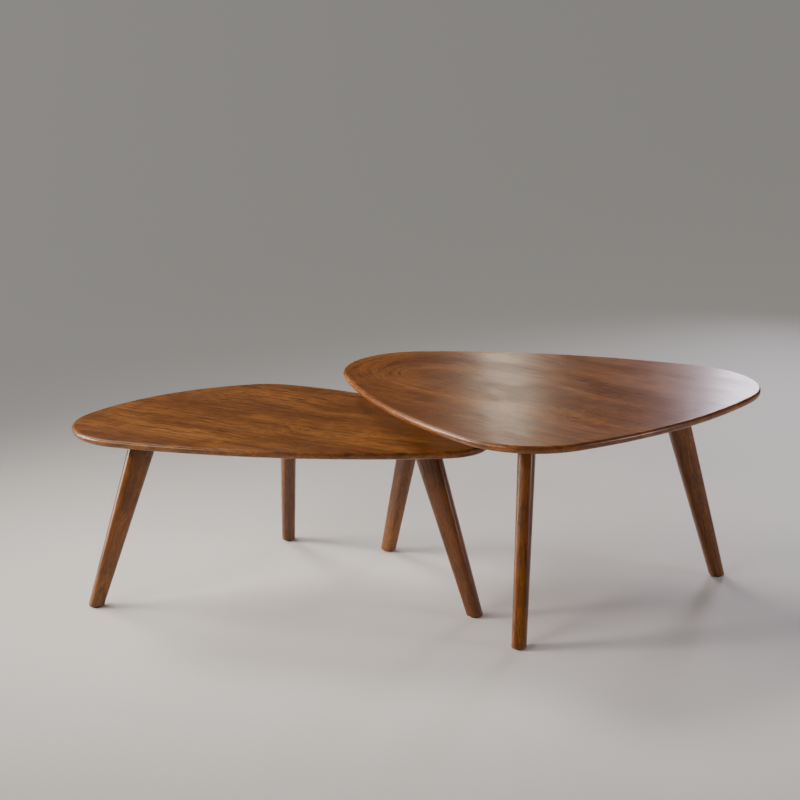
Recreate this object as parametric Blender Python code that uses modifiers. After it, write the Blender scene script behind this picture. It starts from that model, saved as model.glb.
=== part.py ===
"""A nest of two tables: a tall one and a low one, each a rounded three-cornered top on three splayed legs.

The low table slides under the tall one between the tall table's front and back legs.
Every leg is screwed to its own steel plate, and the plate is bolted to threaded inserts in the underside
of the top. Metres, +Z up, feet on z = 0, front of the tables towards -Y.
"""

import math

import bmesh
import bpy
from mathutils import Matrix

# ---- driving dimensions -------------------------------------------------------------------------
GAP = 0.0003                    # clearance left between touching pieces

TALL_HEIGHT = 0.450
LOW_HEIGHT = 0.385
TOP_THICKNESS = 0.016
SHOULDER_RADIUS = 0.006         # upper edge of a top
UNDERCUT_RADIUS = 0.009         # lower edge of a top

# Each top is three round corners joined by three bowed sides, listed counter-clockwise from above.
# A corner is (x, y, radius) about the table's own centre; side n joins corner n to the next one.
# A leg is the x and y of its foot about the same centre, the bearing it leans towards in degrees, and
# how far it leans out for each metre it rises.
TALL_AT = (0.282, 0.0185)
TALL_CORNERS = ((-0.266, 0.190, 0.183), (-0.065, -0.234, 0.177), (0.262, 0.067, 0.186))
TALL_BOWS = (1.133, 1.120, 1.294)
TALL_LEGS = {
    "back": (-0.350, 0.262, 135, 0.25),
    "front": (-0.085, -0.308, 262, 0.338),
    "right": (0.3834, 0.0974, 14.3, 0.3044),
}

LOW_AT = (-0.286, 0.0745)
LOW_CORNERS = ((-0.298, -0.064, 0.149), (0.331, -0.183, 0.101), (-0.059, 0.116, 0.151))
LOW_BOWS = (1.696, 0.693, 0.531)
LOW_LEGS = {
    "left": (-0.401, -0.140, 195.6, 0.323),
    "right": (0.402, -0.197, 340, 0.311),
    "back": (-0.0185, 0.278, 96, 0.325),
}

HEAD_LENGTH, HEAD_WIDTH = 0.059, 0.0375     # level section at the top of a leg
FOOT_LENGTH, FOOT_WIDTH = 0.033, 0.0305     # level section at its foot
SECTION_POWER = 2.7                         # 2 is an ellipse, higher is squarer
LEG_EDGE = 0.002                            # rounding of a leg's two ends
LEG_SIDES = 24

PLATE_LENGTH, PLATE_WIDTH, PLATE_THICKNESS = 0.104, 0.062, 0.003
PLATE_CORNER = 0.010
PLATE_BOLT_OFFSET = 0.040                   # either side of the leg, along the plate
LEG_SCREW_OFFSETS = (-0.010, 0.016)         # along the leg's lean

BOLT_RADIUS, BOLT_LENGTH = 0.003, 0.014
BOLT_HEAD_RADIUS, BOLT_HEAD_HEIGHT = 0.0053, 0.0033
SOCKET_RADIUS, SOCKET_DEPTH = 0.0023, 0.0018
INSERT_RADIUS, INSERT_LENGTH = 0.005, 0.012
SCREW_RADIUS, SCREW_LENGTH = 0.002, 0.030
SCREW_HEAD_RADIUS, SCREW_HEAD_HEIGHT = 0.0040, 0.0023
GLIDE_RADIUS, GLIDE_THICKNESS = 0.011, 0.003
GLIDE_NAIL_RADIUS, GLIDE_NAIL_LENGTH = 0.0011, 0.012
GLIDE_NAIL_TAPER = 0.003
GLIDE_EDGE = 0.0012                         # rounding of the face that stands on the floor
BOLT_CHAMFER = 0.0006                       # at the end of a bolt's shank
SCREW_TAPER = 0.006                         # length of a wood screw's point
END_ROOM = 0.001                            # depth left past the end of a screw or a nail
INSERT_ROOM = 0.0006                        # depth left past the end of an insert
OVERCUT = 0.001                             # how far a cutter stands proud of the face it enters

FASTENER_SIDES = 12
CORNER_STEPS, SIDE_STEPS = 9, 12            # straight pieces in each arc of a top
PLATE_CORNER_STEPS, GLIDE_SIDES = 4, 16
SHOULDER_SEGMENTS, UNDERCUT_SEGMENTS = 3, 3

MATERIALS = {
    "tall_walnut": ((0.185, 0.060, 0.016, 1.0), 0.34, 0.0),
    "low_walnut": ((0.250, 0.086, 0.019, 1.0), 0.35, 0.0),
    "leg_walnut": ((0.190, 0.062, 0.014, 1.0), 0.36, 0.0),
    "plate_steel": ((0.060, 0.060, 0.064, 1.0), 0.55, 0.6),
    "zinc_steel": ((0.550, 0.550, 0.530, 1.0), 0.35, 1.0),
    "insert_brass": ((0.600, 0.430, 0.180, 1.0), 0.35, 1.0),
    "glide_nylon": ((0.060, 0.035, 0.022, 1.0), 0.60, 0.0),
}


# ---- scene, collections and materials -----------------------------------------------------------
def clear_scene():
    for obj in list(bpy.data.objects):
        bpy.data.objects.remove(obj, do_unlink=True)


def make_collection(name):
    collection = bpy.data.collections.new(name)
    bpy.context.scene.collection.children.link(collection)
    return collection


def make_material(name):
    colour, roughness, metallic = MATERIALS[name]
    material = bpy.data.materials.new(name)
    material.use_nodes = True
    shader = material.node_tree.nodes["Principled BSDF"]
    shader.inputs["Base Color"].default_value = colour
    shader.inputs["Roughness"].default_value = roughness
    shader.inputs["Metallic"].default_value = metallic
    material.diffuse_color = colour
    return material


clear_scene()
TABLES = make_collection("nesting_tables")
CUTTERS = make_collection("cutters")
FINISHES = {name: make_material(name) for name in MATERIALS}


def make_empty(name, location, turn=0.0, parent=None):
    empty = bpy.data.objects.new(name, None)
    empty.location = location
    empty.rotation_euler.z = turn
    empty.parent = parent
    TABLES.objects.link(empty)
    return empty


def add_piece(name, mesh, finish, parent, location=(0.0, 0.0, 0.0)):
    piece = bpy.data.objects.new(name, mesh)
    piece.location = location
    piece.parent = parent
    mesh.materials.clear()
    mesh.materials.append(FINISHES[finish])
    TABLES.objects.link(piece)
    return piece


# ---- mesh helpers -------------------------------------------------------------------------------
def evaluated_mesh(obj, name):
    """The finished mesh of an object with its modifiers, welded where a curve's caps are loose."""
    bpy.context.view_layer.update()
    mesh = bpy.data.meshes.new_from_object(obj.evaluated_get(bpy.context.evaluated_depsgraph_get()))
    mesh.name = name
    welded = bmesh.new()
    welded.from_mesh(mesh)
    bmesh.ops.remove_doubles(welded, verts=welded.verts, dist=0.00001)
    welded.to_mesh(mesh)
    welded.free()
    return mesh


def smooth(mesh, angle=35):
    mesh.shade_smooth()
    mesh.set_sharp_from_angle(angle=math.radians(angle))


def flat_shape(name, points, thickness):
    """A flat piece with the given outline, centred on z = 0."""
    curve = bpy.data.curves.new(name, "CURVE")
    curve.dimensions = "2D"
    curve.fill_mode = "BOTH"
    curve.extrude = thickness / 2
    spline = curve.splines.new("POLY")
    spline.points.add(len(points) - 1)
    for point, (x, y) in zip(spline.points, points):
        point.co = (x, y, 0.0, 1.0)
    spline.use_cyclic_u = True
    blank = bpy.data.objects.new(name, curve)
    TABLES.objects.link(blank)
    mesh = evaluated_mesh(blank, name)
    bpy.data.objects.remove(blank, do_unlink=True)
    bpy.data.curves.remove(curve)
    return mesh


def turned_shape(name, profile, closed=False, sides=FASTENER_SIDES):
    """A round piece from (radius, height) points that run down its outer side."""
    mesh = bpy.data.meshes.new(name)
    pairs = [(n, n + 1) for n in range(len(profile) - 1)] + ([(len(profile) - 1, 0)] if closed else [])
    mesh.from_pydata([(radius, 0.0, height) for radius, height in profile], pairs, [])
    blank = bpy.data.objects.new(name, mesh)
    TABLES.objects.link(blank)
    screw = blank.modifiers.new("turn", "SCREW")
    screw.steps = screw.render_steps = sides
    screw.use_merge_vertices = True
    screw.merge_threshold = 0.00001
    turned = evaluated_mesh(blank, name)
    bpy.data.objects.remove(blank, do_unlink=True)
    smooth(turned)
    return turned


def drill_mesh(name, holes):
    """One cutter for several round holes: each is (centre, radius at top, radius at bottom, depth)."""
    drill = bmesh.new()
    for (x, y, z), top_radius, bottom_radius, depth in holes:
        bmesh.ops.create_cone(
            drill,
            cap_ends=True,
            segments=FASTENER_SIDES,
            radius1=bottom_radius,
            radius2=top_radius,
            depth=depth,
            matrix=Matrix.Translation((x, y, z - depth / 2)),
        )
    mesh = bpy.data.meshes.new(name)
    drill.to_mesh(mesh)
    drill.free()
    return mesh


def cut(piece, name, cutter_mesh):
    cutter = bpy.data.objects.new(name, cutter_mesh)
    cutter.parent = piece
    cutter.hide_render = True
    cutter.display_type = "WIRE"
    CUTTERS.objects.link(cutter)
    boolean = piece.modifiers.new(name, "BOOLEAN")
    boolean.operation = "DIFFERENCE"
    boolean.object = cutter


# ---- table tops ---------------------------------------------------------------------------------
def side_centre(first, second, bow):
    """The centre of the arc of radius bow that touches two corner circles from outside them."""
    (x1, y1, r1), (x2, y2, r2) = first, second
    span = math.hypot(x2 - x1, y2 - y1)
    to_first, to_second = bow - r1, bow - r2
    along = (to_first**2 - to_second**2 + span**2) / (2 * span)
    across = math.sqrt(to_first**2 - along**2)
    ux, uy = (x2 - x1) / span, (y2 - y1) / span
    return x1 + along * ux - across * uy, y1 + along * uy + across * ux


def arc(centre, radius, start, end, steps):
    sweep = (end - start) % (2 * math.pi)
    for step in range(steps):
        angle = start + sweep * step / steps
        yield centre[0] + radius * math.cos(angle), centre[1] + radius * math.sin(angle)


def top_outline(corners, bows):
    """The rounded three-cornered outline: corner arc, bowed side, corner arc and so on, all tangent."""
    count = len(corners)
    centres = [side_centre(corners[n], corners[(n + 1) % count], bows[n]) for n in range(count)]
    points = []
    for n in range(count):
        x, y, radius = corners[n]
        before, after = centres[n - 1], centres[n]
        turn_in = math.atan2(y - before[1], x - before[0])
        turn_out = math.atan2(y - after[1], x - after[0])
        points += arc((x, y), radius, turn_in, turn_out, CORNER_STEPS)
        next_x, next_y, _ = corners[(n + 1) % count]
        side_end = math.atan2(next_y - after[1], next_x - after[0])
        points += arc(after, bows[n], turn_out, side_end, SIDE_STEPS)
    return points


def rim_edges(shape, upper):
    """The edges round the upper or the lower face of a flat shape."""
    face = max(shape.faces, key=lambda f: f.normal.z if upper else -f.normal.z)
    rim = face.calc_center_median().z
    return [e for e in shape.edges if all(abs(v.co.z - rim) < 1e-6 for v in e.verts)
            and len({f.normal.z > 0.5 or f.normal.z < -0.5 for f in e.link_faces}) == 2]


def make_top(name, corners, bows, finish, table, height):
    mesh = flat_shape(name, top_outline(corners, bows), TOP_THICKNESS)
    shape = bmesh.new()
    shape.from_mesh(mesh)
    bmesh.ops.dissolve_limit(shape, angle_limit=0.001, verts=shape.verts, edges=shape.edges)
    for upper, radius, segments in ((True, SHOULDER_RADIUS, SHOULDER_SEGMENTS),
                                    (False, UNDERCUT_RADIUS, UNDERCUT_SEGMENTS)):
        bmesh.ops.bevel(shape, geom=rim_edges(shape, upper), offset=radius, segments=segments,
                        profile=0.5, affect="EDGES")
    shape.to_mesh(mesh)
    shape.free()
    smooth(mesh, 50)
    return add_piece(name, mesh, finish, table, (0.0, 0.0, height - TOP_THICKNESS / 2))


# ---- legs ---------------------------------------------------------------------------------------
def leg_section(length, width):
    points = []
    for step in range(LEG_SIDES):
        angle = 2 * math.pi * step / LEG_SIDES
        c, s = math.cos(angle), math.sin(angle)
        x = length / 2 * math.copysign(abs(c) ** (2 / SECTION_POWER), c)
        y = width / 2 * math.copysign(abs(s) ** (2 / SECTION_POWER), s)
        points.append((x, y))
    return points


def leg_mesh(name, rise, splay):
    """A splayed, tapering leg that hangs from its head at the origin and leans towards +X.

    The level section passes from a long oval at the head to a nearly round foot, so it is lofted.
    """
    levels = [(0.0, LEG_EDGE), (LEG_EDGE, 0.0), (rise / 2, 0.0), (rise - LEG_EDGE, 0.0), (rise, LEG_EDGE)]
    shape = bmesh.new()
    rings = []
    for drop, inset in levels:
        share = drop / rise
        length = HEAD_LENGTH + (FOOT_LENGTH - HEAD_LENGTH) * share - 2 * inset
        width = HEAD_WIDTH + (FOOT_WIDTH - HEAD_WIDTH) * share - 2 * inset
        lean = splay * drop
        rings.append([shape.verts.new((x + lean, y, -drop)) for x, y in leg_section(length, width)])
    for upper, lower in zip(rings, rings[1:]):
        for n in range(LEG_SIDES):
            m = (n + 1) % LEG_SIDES
            shape.faces.new((upper[n], lower[n], lower[m], upper[m]))
    shape.faces.new(rings[0])
    shape.faces.new(rings[-1][::-1])
    mesh = bpy.data.meshes.new(name)
    shape.to_mesh(mesh)
    shape.free()
    smooth(mesh, 40)
    return mesh


def make_leg(name, seat, rise, splay):
    leg = add_piece(name, leg_mesh(name, rise, splay), "leg_walnut", seat, (0.0, 0.0, -PLATE_THICKNESS - 2 * GAP))
    hole = SCREW_RADIUS + GAP
    depth = SCREW_LENGTH - PLATE_THICKNESS + END_ROOM
    holes = [((offset, 0.0, OVERCUT), hole, hole, depth + OVERCUT) for offset in LEG_SCREW_OFFSETS]
    nail_hole = GLIDE_NAIL_RADIUS + GAP
    nail_depth = GLIDE_NAIL_LENGTH + END_ROOM
    nail_end = (splay * rise, 0.0, -rise + nail_depth)
    holes.append((nail_end, nail_hole, nail_hole, nail_depth + OVERCUT))
    cut(leg, name + "_holes", drill_mesh(name + "_holes", holes))


# ---- plates and fasteners -----------------------------------------------------------------------
def plate_mesh():
    half_x, half_y = PLATE_WIDTH / 2 - PLATE_CORNER, PLATE_LENGTH / 2 - PLATE_CORNER
    corners = ((half_x, half_y), (-half_x, half_y), (-half_x, -half_y), (half_x, -half_y))
    points = []
    for quarter, (x, y) in enumerate(corners):
        start = quarter * math.pi / 2
        end = start + math.pi / 2
        points += arc((x, y), PLATE_CORNER, start, end, PLATE_CORNER_STEPS)
        points.append((x + PLATE_CORNER * math.cos(end), y + PLATE_CORNER * math.sin(end)))
    return flat_shape("leg_plate", points, PLATE_THICKNESS)


def plate_holes():
    upper_face = PLATE_THICKNESS / 2
    above = upper_face + OVERCUT
    deep = PLATE_THICKNESS + 2 * OVERCUT
    bolt_hole, screw_hole = BOLT_RADIUS + GAP, SCREW_RADIUS + GAP
    slope = (SCREW_HEAD_RADIUS - SCREW_RADIUS) / SCREW_HEAD_HEIGHT
    mouth = SCREW_HEAD_RADIUS + GAP * math.hypot(1, slope)
    sink_depth = (mouth - screw_hole) / slope
    holes = [((0.0, side * PLATE_BOLT_OFFSET, above), bolt_hole, bolt_hole, deep) for side in (-1, 1)]
    sinks = []
    for offset in LEG_SCREW_OFFSETS:
        holes.append(((offset, 0.0, above), screw_hole, screw_hole, deep))
        sinks.append(((offset, 0.0, above), mouth + OVERCUT * slope, screw_hole, sink_depth + OVERCUT))
    return drill_mesh("plate_holes", holes), drill_mesh("plate_countersinks", sinks)


def bolt_mesh():
    """A button-head bolt, its head's bearing face on z = 0 and its shank rising from it."""
    crown, rim = -BOLT_HEAD_HEIGHT, BOLT_HEAD_RADIUS
    profile = [(0.0, BOLT_LENGTH), (BOLT_RADIUS - BOLT_CHAMFER, BOLT_LENGTH),
               (BOLT_RADIUS, BOLT_LENGTH - BOLT_CHAMFER), (BOLT_RADIUS, 0.0), (rim, 0.0),
               (rim, crown * 0.35), (rim * 0.8, crown * 0.85), (rim * 0.55, crown), (0.0, crown)]
    blank = bpy.data.objects.new("bolt", turned_shape("plate_bolt", profile))
    TABLES.objects.link(blank)
    socket = bmesh.new()
    bmesh.ops.create_cone(socket, cap_ends=True, segments=6, radius1=SOCKET_RADIUS, radius2=SOCKET_RADIUS,
                          depth=2 * SOCKET_DEPTH, matrix=Matrix.Translation((0.0, 0.0, crown)))
    socket_mesh = bpy.data.meshes.new("bolt_socket")
    socket.to_mesh(socket_mesh)
    socket.free()
    cut(blank, "bolt_socket", socket_mesh)
    mesh = evaluated_mesh(blank, "plate_bolt")
    bpy.data.objects.remove(bpy.data.objects["bolt_socket"], do_unlink=True)
    bpy.data.objects.remove(blank, do_unlink=True)
    smooth(mesh)
    return mesh


def insert_mesh():
    bore = BOLT_RADIUS + GAP
    section = [(INSERT_RADIUS, INSERT_LENGTH), (INSERT_RADIUS, 0.0), (bore, 0.0), (bore, INSERT_LENGTH)]
    return turned_shape("threaded_insert", section, closed=True)


def leg_screw_mesh():
    """A countersunk wood screw that hangs from the top of its head."""
    profile = [(0.0, 0.0), (SCREW_HEAD_RADIUS, 0.0), (SCREW_RADIUS, -SCREW_HEAD_HEIGHT),
               (SCREW_RADIUS, SCREW_TAPER - SCREW_LENGTH), (0.0, -SCREW_LENGTH)]
    return turned_shape("leg_screw", profile)


def glide_mesh():
    """A nylon glide with its nail, standing on z = 0."""
    tip = GLIDE_THICKNESS + GLIDE_NAIL_LENGTH
    profile = [(0.0, tip), (GLIDE_NAIL_RADIUS, tip - GLIDE_NAIL_TAPER),
               (GLIDE_NAIL_RADIUS, GLIDE_THICKNESS), (GLIDE_RADIUS, GLIDE_THICKNESS),
               (GLIDE_RADIUS, GLIDE_EDGE), (GLIDE_RADIUS - GLIDE_EDGE, 0.0), (0.0, 0.0)]
    return turned_shape("glide", profile, sides=GLIDE_SIDES)


SHARED = {"plate": plate_mesh(), "bolt": bolt_mesh(), "insert": insert_mesh(), "leg_screw": leg_screw_mesh(),
          "glide": glide_mesh()}


def fit_leg(prefix, side, seat, underside, rise, splay):
    """One leg with its plate, fasteners and glide, placed about its seat on the underside of the top."""
    plate = add_piece(f"{prefix}_plate_{side}", SHARED["plate"].copy(), "plate_steel", seat,
                      (0.0, 0.0, -GAP - PLATE_THICKNESS / 2))
    holes, sinks = plate_holes()
    cut(plate, f"{prefix}_plate_{side}_holes", holes)
    cut(plate, f"{prefix}_plate_{side}_sinks", sinks)
    for number, along in enumerate((-PLATE_BOLT_OFFSET, PLATE_BOLT_OFFSET), start=1):
        add_piece(f"{prefix}_plate_bolt_{side}_{number}", SHARED["bolt"], "zinc_steel", seat,
                  (0.0, along, -PLATE_THICKNESS - 2 * GAP))
        add_piece(f"{prefix}_insert_{side}_{number}", SHARED["insert"], "insert_brass", seat, (0.0, along, 0.0))
    for number, offset in enumerate(LEG_SCREW_OFFSETS, start=1):
        add_piece(f"{prefix}_leg_screw_{side}_{number}", SHARED["leg_screw"], "zinc_steel", seat,
                  (offset, 0.0, -GAP))
    make_leg(f"{prefix}_leg_{side}", seat, rise, splay)
    add_piece(f"{prefix}_glide_{side}", SHARED["glide"], "glide_nylon", seat, (splay * rise, 0.0, -underside))


def make_table(prefix, at, height, corners, bows, legs, finish):
    table = make_empty(prefix + "_table", (at[0], at[1], 0.0))
    top = make_top(prefix + "_top", corners, bows, finish, table, height)
    underside = height - TOP_THICKNESS
    bore = INSERT_RADIUS + GAP
    bore_depth = INSERT_LENGTH + INSERT_ROOM
    bores = []
    rise = underside - PLATE_THICKNESS - GLIDE_THICKNESS - 3 * GAP
    for side, (foot_x, foot_y, bearing, splay) in legs.items():
        lean = math.radians(bearing)
        reach = splay * rise
        seat_x, seat_y = foot_x - reach * math.cos(lean), foot_y - reach * math.sin(lean)
        seat = make_empty(f"{prefix}_seat_{side}", (seat_x, seat_y, underside), lean, table)
        for along in (-PLATE_BOLT_OFFSET, PLATE_BOLT_OFFSET):
            place = (seat_x - along * math.sin(lean), seat_y + along * math.cos(lean),
                     bore_depth - TOP_THICKNESS / 2)
            bores.append((place, bore, bore, bore_depth + OVERCUT))
        fit_leg(prefix, side, seat, underside, rise, splay)
    cut(top, prefix + "_insert_bores", drill_mesh(prefix + "_insert_bores", bores))


make_table("tall", TALL_AT, TALL_HEIGHT, TALL_CORNERS, TALL_BOWS, TALL_LEGS, "tall_walnut")
make_table("low", LOW_AT, LOW_HEIGHT, LOW_CORNERS, LOW_BOWS, LOW_LEGS, "low_walnut")
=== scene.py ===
"""Looks for a nest of two walnut tables: lacquered veneer tops with solid lippings, splayed oval legs,
and the steel, brass and nylon parts that hold each leg and stand it on the floor."""

import math

import bmesh
import bpy
import numpy as np
from mathutils import Matrix, Vector, geometry


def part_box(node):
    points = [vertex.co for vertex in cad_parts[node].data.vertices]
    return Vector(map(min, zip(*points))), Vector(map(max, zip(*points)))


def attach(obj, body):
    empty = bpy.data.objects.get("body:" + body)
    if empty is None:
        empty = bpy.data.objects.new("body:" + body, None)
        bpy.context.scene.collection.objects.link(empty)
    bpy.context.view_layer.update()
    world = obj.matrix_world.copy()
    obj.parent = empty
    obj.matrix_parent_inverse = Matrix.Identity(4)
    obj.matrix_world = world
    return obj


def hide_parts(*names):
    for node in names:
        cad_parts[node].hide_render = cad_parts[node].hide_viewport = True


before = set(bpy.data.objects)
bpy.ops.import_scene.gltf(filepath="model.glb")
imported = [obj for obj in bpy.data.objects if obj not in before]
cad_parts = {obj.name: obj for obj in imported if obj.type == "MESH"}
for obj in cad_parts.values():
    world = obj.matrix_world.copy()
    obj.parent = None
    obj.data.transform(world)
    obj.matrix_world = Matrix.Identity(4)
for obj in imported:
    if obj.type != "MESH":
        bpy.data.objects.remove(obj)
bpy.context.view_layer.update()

# ---- the nest, as the frame names it ------------------------------------------------------------
TABLES = {
    "tall": {"body": "tall_table", "sides": ("back", "front", "right")},
    "low": {"body": "low_table", "sides": ("left", "right", "back")},
}

# ---- maker's sizes, in metres -------------------------------------------------------------------
MM = 0.001
SHOULDER_RADIUS = 6 * MM            # rounding where the rim meets the upper face
UNDERCUT_RADIUS = 9 * MM            # rounding where the rim meets the underside
LIPPING_WIDTH = 7.5 * MM            # solid edge strip outside the veneered face
JOINT_WIDTH, JOINT_DEPTH = 0.4 * MM, 0.14 * MM
RIM_EASE = 0.5 * MM                 # how far the finished rim stands inside the frame's own edge
OUTLINE_STEPS = 5                   # points between two neighbouring corners of the frame's outline
SHOULDER_STEPS, UNDERCUT_STEPS = 10, 10
FACE_RINGS = (0.94, 0.8, 0.6, 0.4, 0.2)     # rings of the faces, as shares of the way out from the middle

LEG_SIDES, LEG_RINGS = 64, 24
LEG_SECTION_POWER = 2.7             # 2 is an ellipse, higher is squarer
LEG_EDGE = 2.0 * MM                 # rounding of a leg's two ends
LEG_EDGE_STEPS = 4
SAME_LEVEL = 0.1 * MM               # points this close in height lie in one end face

PLATE_CORNER, PLATE_CORNER_STEPS = 10 * MM, 8
PLATE_EDGE = 0.4 * MM
PLATE_BOLT_HOLE, PLATE_SCREW_HOLE = 3.3 * MM, 2.3 * MM      # radii
SINK_RADIUS, SINK_DEPTH, SINK_RISE = 4.9 * MM, 3.0 * MM, 0.5 * MM   # of a countersink's cutter

BOLT_SHANK, BOLT_PITCH, BOLT_THREAD = 3.0 * MM, 1.0 * MM, 0.45 * MM
BOLT_HEAD_HEIGHT, BOLT_HEAD_STEPS = 3.3 * MM, 8
BOLT_POCKET_RADIUS, BOLT_POCKET_DEPTH = 2.3 * MM, 1.8 * MM
SCREW_HEAD, SCREW_SHANK, SCREW_TIP = 4.0 * MM, 2.0 * MM, 6.0 * MM
SCREW_PITCH, SCREW_THREAD = 1.8 * MM, 0.5 * MM
SCREW_POCKET_RADIUS, SCREW_POCKET_DEPTH, SCREW_POCKET_LOBES = 1.9 * MM, 1.6 * MM, 6
INSERT_BORE, INSERT_EDGE = 3.3 * MM, 0.4 * MM
INSERT_PITCH, INSERT_THREAD = 2.4 * MM, 0.7 * MM
GLIDE_RADIUS, GLIDE_THICKNESS, GLIDE_NAIL = 11.0 * MM, 3.0 * MM, 1.1 * MM
GLIDE_EDGE, GLIDE_EDGE_STEPS = 1.2 * MM, 6

INSERT_ROOM, INSERT_END_ROOM = 0.4 * MM, 0.6 * MM           # left round and past an insert
SCREW_HOLE, NAIL_HOLE = 2.4 * MM, 1.5 * MM                  # radii in a leg
OVERCUT = 1 * MM                    # how far a drill runs past what it has to clear
ROUND_SIDES = 48
THREAD_STEPS = 8                    # rings to each turn of a thread

# Faces that meet at more than these many degrees keep a crease between them.
TOP_CREASE, LEG_CREASE, METAL_CREASE, GLIDE_CREASE = 20, 40, 30, 35

# ---- finishes (linear colours) ------------------------------------------------------------------
WALNUTS = {
    # dark streak, heartwood, pale streak
    "tall_field": ((0.036, 0.0090, 0.0018), (0.190, 0.058, 0.0095), (0.310, 0.108, 0.019)),
    "low_field": ((0.036, 0.0100, 0.0019), (0.180, 0.059, 0.0105), (0.300, 0.113, 0.022)),
    "leg": ((0.026, 0.0064, 0.0009), (0.140, 0.042, 0.0046), (0.240, 0.081, 0.0092)),
}


# ==== shader helpers =============================================================================
def put(tree, kind, inputs=None, **settings):
    """A node with its settings; each input is a value, or a socket to link from."""
    node = tree.nodes.new(kind)
    for name, value in settings.items():
        setattr(node, name, value)
    for name, value in (inputs or {}).items():
        socket = node.inputs[name]
        if isinstance(value, bpy.types.NodeSocket):
            tree.links.new(value, socket)
        else:
            socket.default_value = value
    return node


def maths(tree, operation, first, second=0.0, clamp=False):
    node = put(tree, "ShaderNodeMath", {0: first, 1: second}, operation=operation, use_clamp=clamp)
    return node.outputs[0]


def remap(tree, value, low, high, out_low=0.0, out_high=1.0):
    """Smoothly carries value from the range low..high to out_low..out_high."""
    node = put(tree, "ShaderNodeMapRange", {"Value": value, "From Min": low, "From Max": high,
                                            "To Min": out_low, "To Max": out_high},
               interpolation_type="SMOOTHSTEP")
    return node.outputs["Result"]


def blend_colours(tree, factor, first, second, blend_type="MIX"):
    node = put(tree, "ShaderNodeMix", data_type="RGBA", blend_type=blend_type)
    for socket, value in ((node.inputs[0], factor), (node.inputs[6], first), (node.inputs[7], second)):
        if isinstance(value, bpy.types.NodeSocket):
            tree.links.new(value, socket)
        elif isinstance(value, (int, float)):
            socket.default_value = value
        else:
            socket.default_value = (*value[:3], 1.0)
    return node.outputs[2]


def stretched_noise(tree, vector, along, across, detail=3.0, distortion=0.0, rough=0.55, shift=0.0):
    """Noise that is drawn out along X: along and across are features for each metre."""
    place = (shift, shift * 0.7, shift * 1.3)
    mapped = put(tree, "ShaderNodeMapping", {"Vector": vector, "Location": place,
                                             "Scale": (along, across, across)}).outputs[0]
    noise = put(tree, "ShaderNodeTexNoise", {"Vector": mapped, "Scale": 1.0, "Detail": detail,
                                             "Roughness": rough, "Distortion": distortion})
    return noise.outputs["Fac"]


def new_group(name, inputs, outputs):
    """An empty node group with named sockets; returns it with its input and output nodes."""
    group = bpy.data.node_groups.new(name, "ShaderNodeTree")
    kinds = {"value": "NodeSocketFloat", "colour": "NodeSocketColor", "vector": "NodeSocketVector"}
    for socket_name, kind, default in inputs:
        socket = group.interface.new_socket(name=socket_name, in_out="INPUT", socket_type=kinds[kind])
        if default is not None:
            socket.default_value = default
    for socket_name, kind in outputs:
        group.interface.new_socket(name=socket_name, in_out="OUTPUT", socket_type=kinds[kind])
    return group, group.nodes.new("NodeGroupInput").outputs, group.nodes.new("NodeGroupOutput").inputs


def make_arched_grain():
    """Bends straight grain along X into the nested arches of a crown cut, where X is below their centre."""
    group, given, result = new_group(
        "arched_grain", [("Grain", "vector", None), ("Centre", "vector", None), ("Arch", "value", 0.0)],
        [("Grain", "vector")])
    place = put(group, "ShaderNodeSeparateXYZ", {0: given["Grain"]}).outputs
    centre = put(group, "ShaderNodeSeparateXYZ", {0: given["Centre"]}).outputs
    beyond = maths(group, "MINIMUM", maths(group, "SUBTRACT", place["X"], centre["X"]), 0.0)
    aside = maths(group, "SUBTRACT", place["Y"], centre["Y"])
    spread = maths(group, "SQRT", maths(group, "ADD", maths(group, "MULTIPLY", beyond, beyond),
                                        maths(group, "MULTIPLY", aside, aside)))
    shift = maths(group, "MULTIPLY", maths(group, "SUBTRACT", spread, aside), given["Arch"])
    lean = maths(group, "MULTIPLY", maths(group, "MULTIPLY", aside, given["Arch"]), 0.20)
    bent = put(group, "ShaderNodeCombineXYZ", {"X": place["X"], "Y": maths(group, "ADD", aside, shift),
                                               "Z": maths(group, "ADD", place["Z"], lean)}).outputs[0]
    group.links.new(bent, result["Grain"])
    return group


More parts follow.
